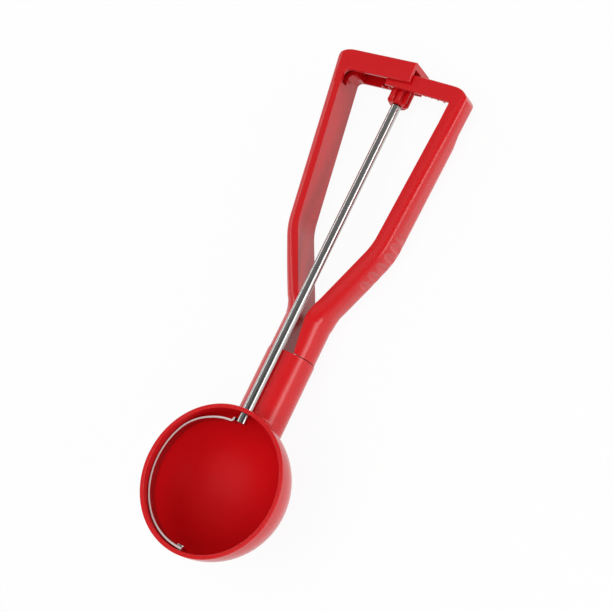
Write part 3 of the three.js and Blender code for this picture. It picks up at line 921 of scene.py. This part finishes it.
def blade_line():
    """The strip's middle line, from the end of the tab to the pivot pin."""
    run = rod_inner_end - run_past
    tab = rod_radius + seat_gap + blade_thickness / 2
    points = [Vector((run + tab_bend + tab_length, tab))]
    for i in range(TAB_STEPS + 1):
        angle = RIGHT_ANGLE * i / TAB_STEPS
        points.append(Vector((
            run + tab_bend * (1 - math.sin(angle)), tab + tab_bend * (1 - math.cos(angle)))))

    def on_wall(angle):
        return Vector((blade_radius * math.cos(angle), blade_radius * math.sin(angle)))

    start = Vector((run, tab + tab_bend))
    along = Vector((math.sin(blade_leave), -math.cos(blade_leave)))
    a, b = start, Vector((run, start.y + blade_ease))
    c, d = on_wall(blade_leave) + along * blade_ease, on_wall(blade_leave)
    for i in range(1, EASE_STEPS + 1):
        t = i / EASE_STEPS
        points.append(
            a * (1 - t) ** 3 + b * 3 * t * (1 - t) ** 2 + c * 3 * t * t * (1 - t) + d * t ** 3)
    for i in range(1, WALL_STEPS + 1):
        points.append(on_wall(blade_leave + (math.pi - blade_leave) * i / WALL_STEPS))
    points.append(Vector((-blade_radius, -blade_width / 2)))
    return points


line = blade_line()
near, off = [], []
for i, point in enumerate(line):
    along = (line[min(len(line) - 1, i + 1)] - line[max(0, i - 1)]).normalized()
    across = Vector((-along.y, along.x)) * blade_thickness / 2
    near.append(tuple(point + across))
    off.append(tuple(point - across))
blade = plate("blade_strip", near + off[::-1], -blade_width / 2, blade_width / 2)
round_edges(blade, blade_edge, lambda a, b: abs(a.z - b.z) < CLOSE, segments=2)
put(blade, Matrix.Rotation(-blade_tilt, 4, "X"))
blade_hole = turned("blade_hole", [
    (-bowl_radius, 0.0), (-bowl_radius, pin_radius + seat_gap), (0.0, pin_radius + seat_gap),
    (0.0, 0.0)], steps=32)
join_or_cut(blade, blade_hole, "DIFFERENCE")

# %% [markdown]
# The pivot pin is turned like the rod. Its domed head lies inside the bowl, past the blade,
# and its plain end comes just short of the bowl's outside.

# %% Pivot pin with its domed head
pin_head = seat_gap + blade_thickness / 2 - blade_radius
head_radius = 1.7 * MM
head_length = 0.7 * MM
head_rim_share = 0.3
pin_chamfer = 0.15 * MM
HEAD_STEPS = 8
profile = [
    (seat_gap - bowl_radius, 0.0),
    (seat_gap - bowl_radius, pin_radius - pin_chamfer),
    (seat_gap - bowl_radius + pin_chamfer, pin_radius),
    (pin_head, pin_radius),
    (pin_head, head_radius)]
for i in range(HEAD_STEPS + 1):
    angle = RIGHT_ANGLE * i / HEAD_STEPS
    profile.append((
        pin_head + head_length * (head_rim_share + (1 - head_rim_share) * math.sin(angle)),
        head_radius * math.cos(angle)))
profile[-1] = (profile[-1][0], 0.0)
pin = turned("pivot_rivet", profile, steps=48)

# %% [markdown]
# Now each piece is laid down where the CAD has it, given smooth shading with crisp edges,
# and told which body it moves with, and the CAD solid that it stands for is hidden.

# %% Lay the pieces down
CRISP_ANGLE = math.radians(32)
FACE_WEIGHT = 60
PIECES = (
    (bowl, "stem_body", "bowl", "red_plastic"),
    (tenon, "stem_body", "fork_tenon", "red_plastic"),
    (pin, "stem_body", "pivot_pin", "steel"),
    (left_arm, "left_side", "left_arm", "red_plastic"),
    (right_arm, "right_side", "right_arm", "red_plastic"),
    (rod, "scraper", "drive_rod", "steel"),
    (pinion, "scraper", "pinion", "red_plastic"),
    (blade, "scraper", "scraper_blade", "steel"),
)
for piece, body, node, slot in PIECES:
    put(piece, LYING)
    alone(piece)
    bpy.ops.object.shade_smooth_by_angle(angle=CRISP_ANGLE)
    weigh = piece.modifiers.new("even shading", "WEIGHTED_NORMAL")
    weigh.keep_sharp = True
    weigh.weight = FACE_WEIGHT
    bpy.ops.object.modifier_apply(modifier=weigh.name)
    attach(piece, body)
    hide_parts(node)
    print(piece.name, "rides on", body, "with", len(piece.data.polygons), "faces")

# %% [markdown]
# The plastic is a bright glossy red. Moulded plastic is never quite even, so a broad noise
# moves its roughness and its colour a little, and a fine one lifts the surface by a few
# thousandths of a millimetre, which softens the edges of the reflections. The mould for
# the inside of the bowl is less polished, so that the dough comes away: it is nearly matt.

# %% Red plastic
NOISE_LOW = 0.3
NOISE_HIGH = 0.7
bright_red = (0.62, 0.006, 0.009)
deep_red = (0.55, 0.004, 0.007)
PLASTIC_CLOUDS = 35
PLASTIC_GRAIN = 900
plastic_grain_height = 0.002 * MM


def start_material(name):
    material = bpy.data.materials.new(name)
    material.use_nodes = True
    tree = material.node_tree
    surface = tree.nodes["Principled BSDF"]
    place = tree.nodes.new("ShaderNodeTexCoord")
    return material, tree, surface, place.outputs["Object"]


def noise(tree, place, scale, detail=3.0):
    node = tree.nodes.new("ShaderNodeTexNoise")
    node.inputs["Scale"].default_value = scale
    node.inputs["Detail"].default_value = detail
    tree.links.new(place, node.inputs["Vector"])
    return node.outputs["Fac"]


def ranged(tree, value, low, high):
    """Spreads a noise, which seldom leaves the middle of its range, from low to high."""
    node = tree.nodes.new("ShaderNodeMapRange")
    node.inputs["From Min"].default_value = NOISE_LOW
    node.inputs["From Max"].default_value = NOISE_HIGH
    node.inputs["To Min"].default_value = low
    node.inputs["To Max"].default_value = high
    tree.links.new(value, node.inputs["Value"])
    return node.outputs["Result"]


def mixed(tree, value, first, second):
    node = tree.nodes.new("ShaderNodeMix")
    node.data_type = "RGBA"
    node.inputs["A"].default_value = (*first, 1)
    node.inputs["B"].default_value = (*second, 1)
    tree.links.new(value, node.inputs["Factor"])
    return node.outputs["Result"]


def lifted(tree, surface, value, height):
    node = tree.nodes.new("ShaderNodeBump")
    node.inputs["Strength"].default_value = 1.0
    node.inputs["Distance"].default_value = height
    tree.links.new(value, node.inputs["Height"])
    tree.links.new(node.outputs["Normal"], surface.inputs["Normal"])


def red_plastic(name, smoothest, roughest, shine):
    material, tree, surface, place = start_material(name)
    clouds = noise(tree, place, PLASTIC_CLOUDS)
    tree.links.new(mixed(tree, clouds, bright_red, deep_red), surface.inputs["Base Color"])
    tree.links.new(ranged(tree, clouds, smoothest, roughest), surface.inputs["Roughness"])
    surface.inputs["IOR"].default_value = 1.5
    surface.inputs["Specular IOR Level"].default_value = shine
    lifted(tree, surface, noise(tree, place, PLASTIC_GRAIN), plastic_grain_height)
    return material


red = red_plastic("glossy red moulded plastic", smoothest=0.2, roughest=0.28, shine=0.5)
satin = red_plastic("satin red moulded plastic", smoothest=0.3, roughest=0.4, shine=0.12)

# %% [markdown]
# The steel is drawn wire and rolled strip, polished but with faint lines along its length.
# A noise that is stretched along X, the way the wire lies, gives the lines. The blade's
# two long edges are sheared, not rolled. They are rough and pale, so they get a second
# material, and the bright line that runs round the bowl is that edge. That material's
# colour is also tinted pink, which is a painted reflection of the red plastic round it.

# %% Bright steel
dark_steel = (0.44, 0.43, 0.42)
pale_steel = (0.6, 0.59, 0.58)
LINES_ALONG = 40
LINES_ACROSS = 2200
line_height = 0.002 * MM
steel, tree, surface, place = start_material("bright drawn steel")
stretch = tree.nodes.new("ShaderNodeMapping")
stretch.inputs["Rotation"].default_value = (0, -tilt, 0)
stretch.inputs["Scale"].default_value = (LINES_ALONG, LINES_ACROSS, LINES_ACROSS)
tree.links.new(place, stretch.inputs["Vector"])
lines = noise(tree, stretch.outputs["Vector"], 1.0, 2.0)
surface.inputs["Metallic"].default_value = 1.0
tree.links.new(mixed(tree, lines, dark_steel, pale_steel), surface.inputs["Base Color"])
tree.links.new(ranged(tree, lines, low=0.18, high=0.26), surface.inputs["Roughness"])
lifted(tree, surface, lines, line_height)

# %% Sheared edges of the blade
# These are grey steel colours tinted pink, and the pink tint is a painted reflection of the red
# plastic.
dark_edge_painted_pink = (0.58, 0.5, 0.49)
pale_edge_painted_pink = (0.74, 0.66, 0.65)
EDGE_GRAIN = 2500
edge_grain_height = 0.004 * MM
sheared, tree, surface, place = start_material("sheared steel edge")
surface.inputs["Metallic"].default_value = 0.25
grains = noise(tree, place, EDGE_GRAIN, 2.0)
tree.links.new(mixed(tree, grains, dark_edge_painted_pink, pale_edge_painted_pink), surface.inputs["Base Color"])
tree.links.new(ranged(tree, grains, low=0.45, high=0.6), surface.inputs["Roughness"])
lifted(tree, surface, grains, edge_grain_height)

# %% [markdown]
# Every piece gets its main material. The bowl's inside faces get the satin plastic, and the
# blade's two long edges, whose faces look along its width, get the sheared steel with its
# painted pink reflection.

# %% Give the pieces their materials
inside_margin = 0.15 * MM
ALONG_WIDTH = 0.6
for piece, _, _, slot in PIECES:
    piece.data.materials.clear()
    piece.data.materials.append(red if slot == "red_plastic" else steel)
bowl.data.materials.append(satin)
middle = Vector(rod_joint["pos_m"])
for face in bowl.data.polygons:
    inside = (face.center - middle).length < inner_radius + inside_margin
    face.material_index = 1 if inside else 0
blade.data.materials.append(sheared)
blade_way = (LYING @ Matrix.Rotation(-blade_tilt, 4, "X")).to_3x3() @ Vector((0, 0, 1))
for face in blade.data.polygons:
    face.material_index = 1 if abs(face.normal.dot(blade_way)) > ALONG_WIDTH else 0
print("sheared faces:", sum(face.material_index for face in blade.data.polygons))

# %% [markdown]
# The camera stands where the photographer's did. Its place and its three directions are
# given in the drawing position, so they are laid down with the same matrix as the pieces.

# %% Camera
SENSOR = 36
FOCAL_PIXELS = 1100
PICTURE_PIXELS = 612
camera_data = bpy.data.cameras.new("camera")
camera_data.sensor_width = SENSOR
camera_data.lens = SENSOR * (FOCAL_PIXELS / PICTURE_PIXELS)
camera_data.clip_start = 0.01
camera_data.clip_end = 20
camera = bpy.data.objects.new("camera", camera_data)
bpy.context.scene.collection.objects.link(camera)
to_right = Vector((0.42976388, -0.82644502, -0.36371917))
to_ground = Vector((-0.87970931, -0.29244702, -0.37494836))
to_scoop = Vector((0.20350562, 0.48110640, -0.85271455))
stand = Vector((-10.9, -203.44, 352.62)) * MM + Vector((0, 0, rim_height))
camera_place = Matrix.Identity(4)
for column, way in enumerate((to_right, -to_ground, -to_scoop, stand)):
    for row in range(3):
        camera_place[row][column] = way[row]
camera.matrix_world = LYING @ camera_place
bpy.context.scene.camera = camera

# %% [markdown]
# The background is a plain white floor. A floor lit only by lamps would render grey, so
# rays from the camera, and rays that bounce off the plastic or the steel, see a mix of the
# floor's own lit white and plain white. Its shadow stays but is faint, as in the photograph.

# %% Floor
FLOOR_SIZE = 8
PAPER_WHITE = 0.86
PLAIN_SHARE = 0.93
bpy.ops.mesh.primitive_plane_add(size=FLOOR_SIZE)
floor = bpy.context.object
floor.name = "floor"
paper = bpy.data.materials.new("white paper")
paper.use_nodes = True
tree = paper.node_tree
tree.nodes.clear()
out = tree.nodes.new("ShaderNodeOutputMaterial")
lit = tree.nodes.new("ShaderNodeBsdfDiffuse")
lit.inputs["Color"].default_value = (PAPER_WHITE, PAPER_WHITE, PAPER_WHITE, 1)
plain = tree.nodes.new("ShaderNodeEmission")
plain.inputs["Color"].default_value = (1, 1, 1, 1)
rays = tree.nodes.new("ShaderNodeLightPath")


def worked(tree, operation, first, second):
    node = tree.nodes.new("ShaderNodeMath")
    node.operation = operation
    for socket, value in zip(node.inputs, (first, second)):
        if isinstance(value, float):
            socket.default_value = value
        else:
            tree.links.new(value, socket)
    return node.outputs["Value"]


seen = worked(
    tree, "MAXIMUM", rays.outputs["Is Camera Ray"], rays.outputs["Is Glossy Ray"])
seen = worked(tree, "MAXIMUM", seen, rays.outputs["Is Transmission Ray"])
share = worked(tree, "MULTIPLY", seen, PLAIN_SHARE)
blend = tree.nodes.new("ShaderNodeMixShader")
tree.links.new(share, blend.inputs["Fac"])
tree.links.new(lit.outputs["BSDF"], blend.inputs[1])
tree.links.new(plain.outputs["Emission"], blend.inputs[2])
tree.links.new(blend.outputs["Shader"], out.inputs["Surface"])
floor.data.materials.append(paper)

# %% [markdown]
# Glossy plastic and steel show what stands round them. Here the room is pale near the floor
# and dimmer overhead, so the scoop's sides turn a little pink and its fronts keep their red.
# A dark card stands behind the camera, and draws the dark line along the middle of the rod.

# %% Room
CARD_OUTER = math.radians(32)
CARD_INNER = math.radians(14)
CARD_BRIGHTNESS = 0.1
NEAR_FLOOR = 0.6
OVERHEAD = 0.24
OVERHEAD_HEIGHT = 0.7
world = bpy.data.worlds.new("studio")
bpy.context.scene.world = world
world.use_nodes = True
tree = world.node_tree
tree.nodes.clear()
out = tree.nodes.new("ShaderNodeOutputWorld")
around = tree.nodes.new("ShaderNodeBackground")
around.inputs["Color"].default_value = (1, 1, 1, 1)
way = tree.nodes.new("ShaderNodeTexCoord")


def along_way(direction, low, high, at_low, at_high):
    """A strength that changes smoothly with how far a ray points in a direction."""
    facing = tree.nodes.new("ShaderNodeVectorMath")
    facing.operation = "DOT_PRODUCT"
    facing.inputs[1].default_value = direction
    tree.links.new(way.outputs["Generated"], facing.inputs[0])
    step = tree.nodes.new("ShaderNodeMapRange")
    step.interpolation_type = "SMOOTHSTEP"
    for name, number in (("From Min", low), ("From Max", high),
                         ("To Min", at_low), ("To Max", at_high)):
        step.inputs[name].default_value = number
    tree.links.new(facing.outputs["Value"], step.inputs["Value"])
    return step.outputs["Result"]


card_way = LYING.to_3x3() @ -to_scoop
card = along_way(card_way, math.cos(CARD_OUTER), math.cos(CARD_INNER), 1.0, CARD_BRIGHTNESS)
climb = along_way((0, 0, 1), 0.0, OVERHEAD_HEIGHT, NEAR_FLOOR, OVERHEAD)
tree.links.new(worked(tree, "MULTIPLY", climb, card), around.inputs["Strength"])
tree.links.new(around.outputs["Background"], out.inputs["Surface"])

# %% [markdown]
# A long softbox stands on each side. They draw the bright lines on the rounded edges and
# along the rod. The lamp overhead only fills, and is hidden from reflections.

# %% Lamps
lamps_look_at = 90 * MM


def soft_lamp(name, way, distance, size, radiance):
    """A softbox in a direction of the drawing position, with its long side along the rod."""
    data = bpy.data.lights.new(name, "AREA")
    data.shape = "RECTANGLE"
    data.size, data.size_y = size
    data.energy = radiance * math.pi * size[0] * size[1]
    lamp = bpy.data.objects.new(name, data)
    bpy.context.scene.collection.objects.link(lamp)
    turn = LYING.to_3x3()
    towards = (turn @ Vector(way)).normalized()
    along = turn @ Vector((1, 0, 0))
    along = (along - towards * along.dot(towards)).normalized()
    middle = LYING @ Vector((lamps_look_at, 0, 0))
    lamp.matrix_world = Matrix.Translation(middle + towards * distance) @ Matrix((
        along, towards.cross(along), towards)).transposed().to_4x4()
    print(name, "gives", round(data.energy, 2), "W")
    return lamp


soft_lamp("right softbox", way=(0.305, -0.915, 0.265), distance=0.9, size=(1.2, 0.25), radiance=4.0)
soft_lamp("left softbox", way=(0.1, 0.87, 0.48), distance=0.9, size=(1.0, 0.14), radiance=3.0)
fill = soft_lamp(
    "overhead fill", way=(-0.35, -0.1, 0.93), distance=1.2, size=(1.4, 1.4), radiance=2.2)
fill.visible_glossy = False

# %% [markdown]
# The plain view transform shows the colours as the materials give them.

# %% Colours are shown as they are
bpy.context.scene.view_settings.view_transform = "Standard"
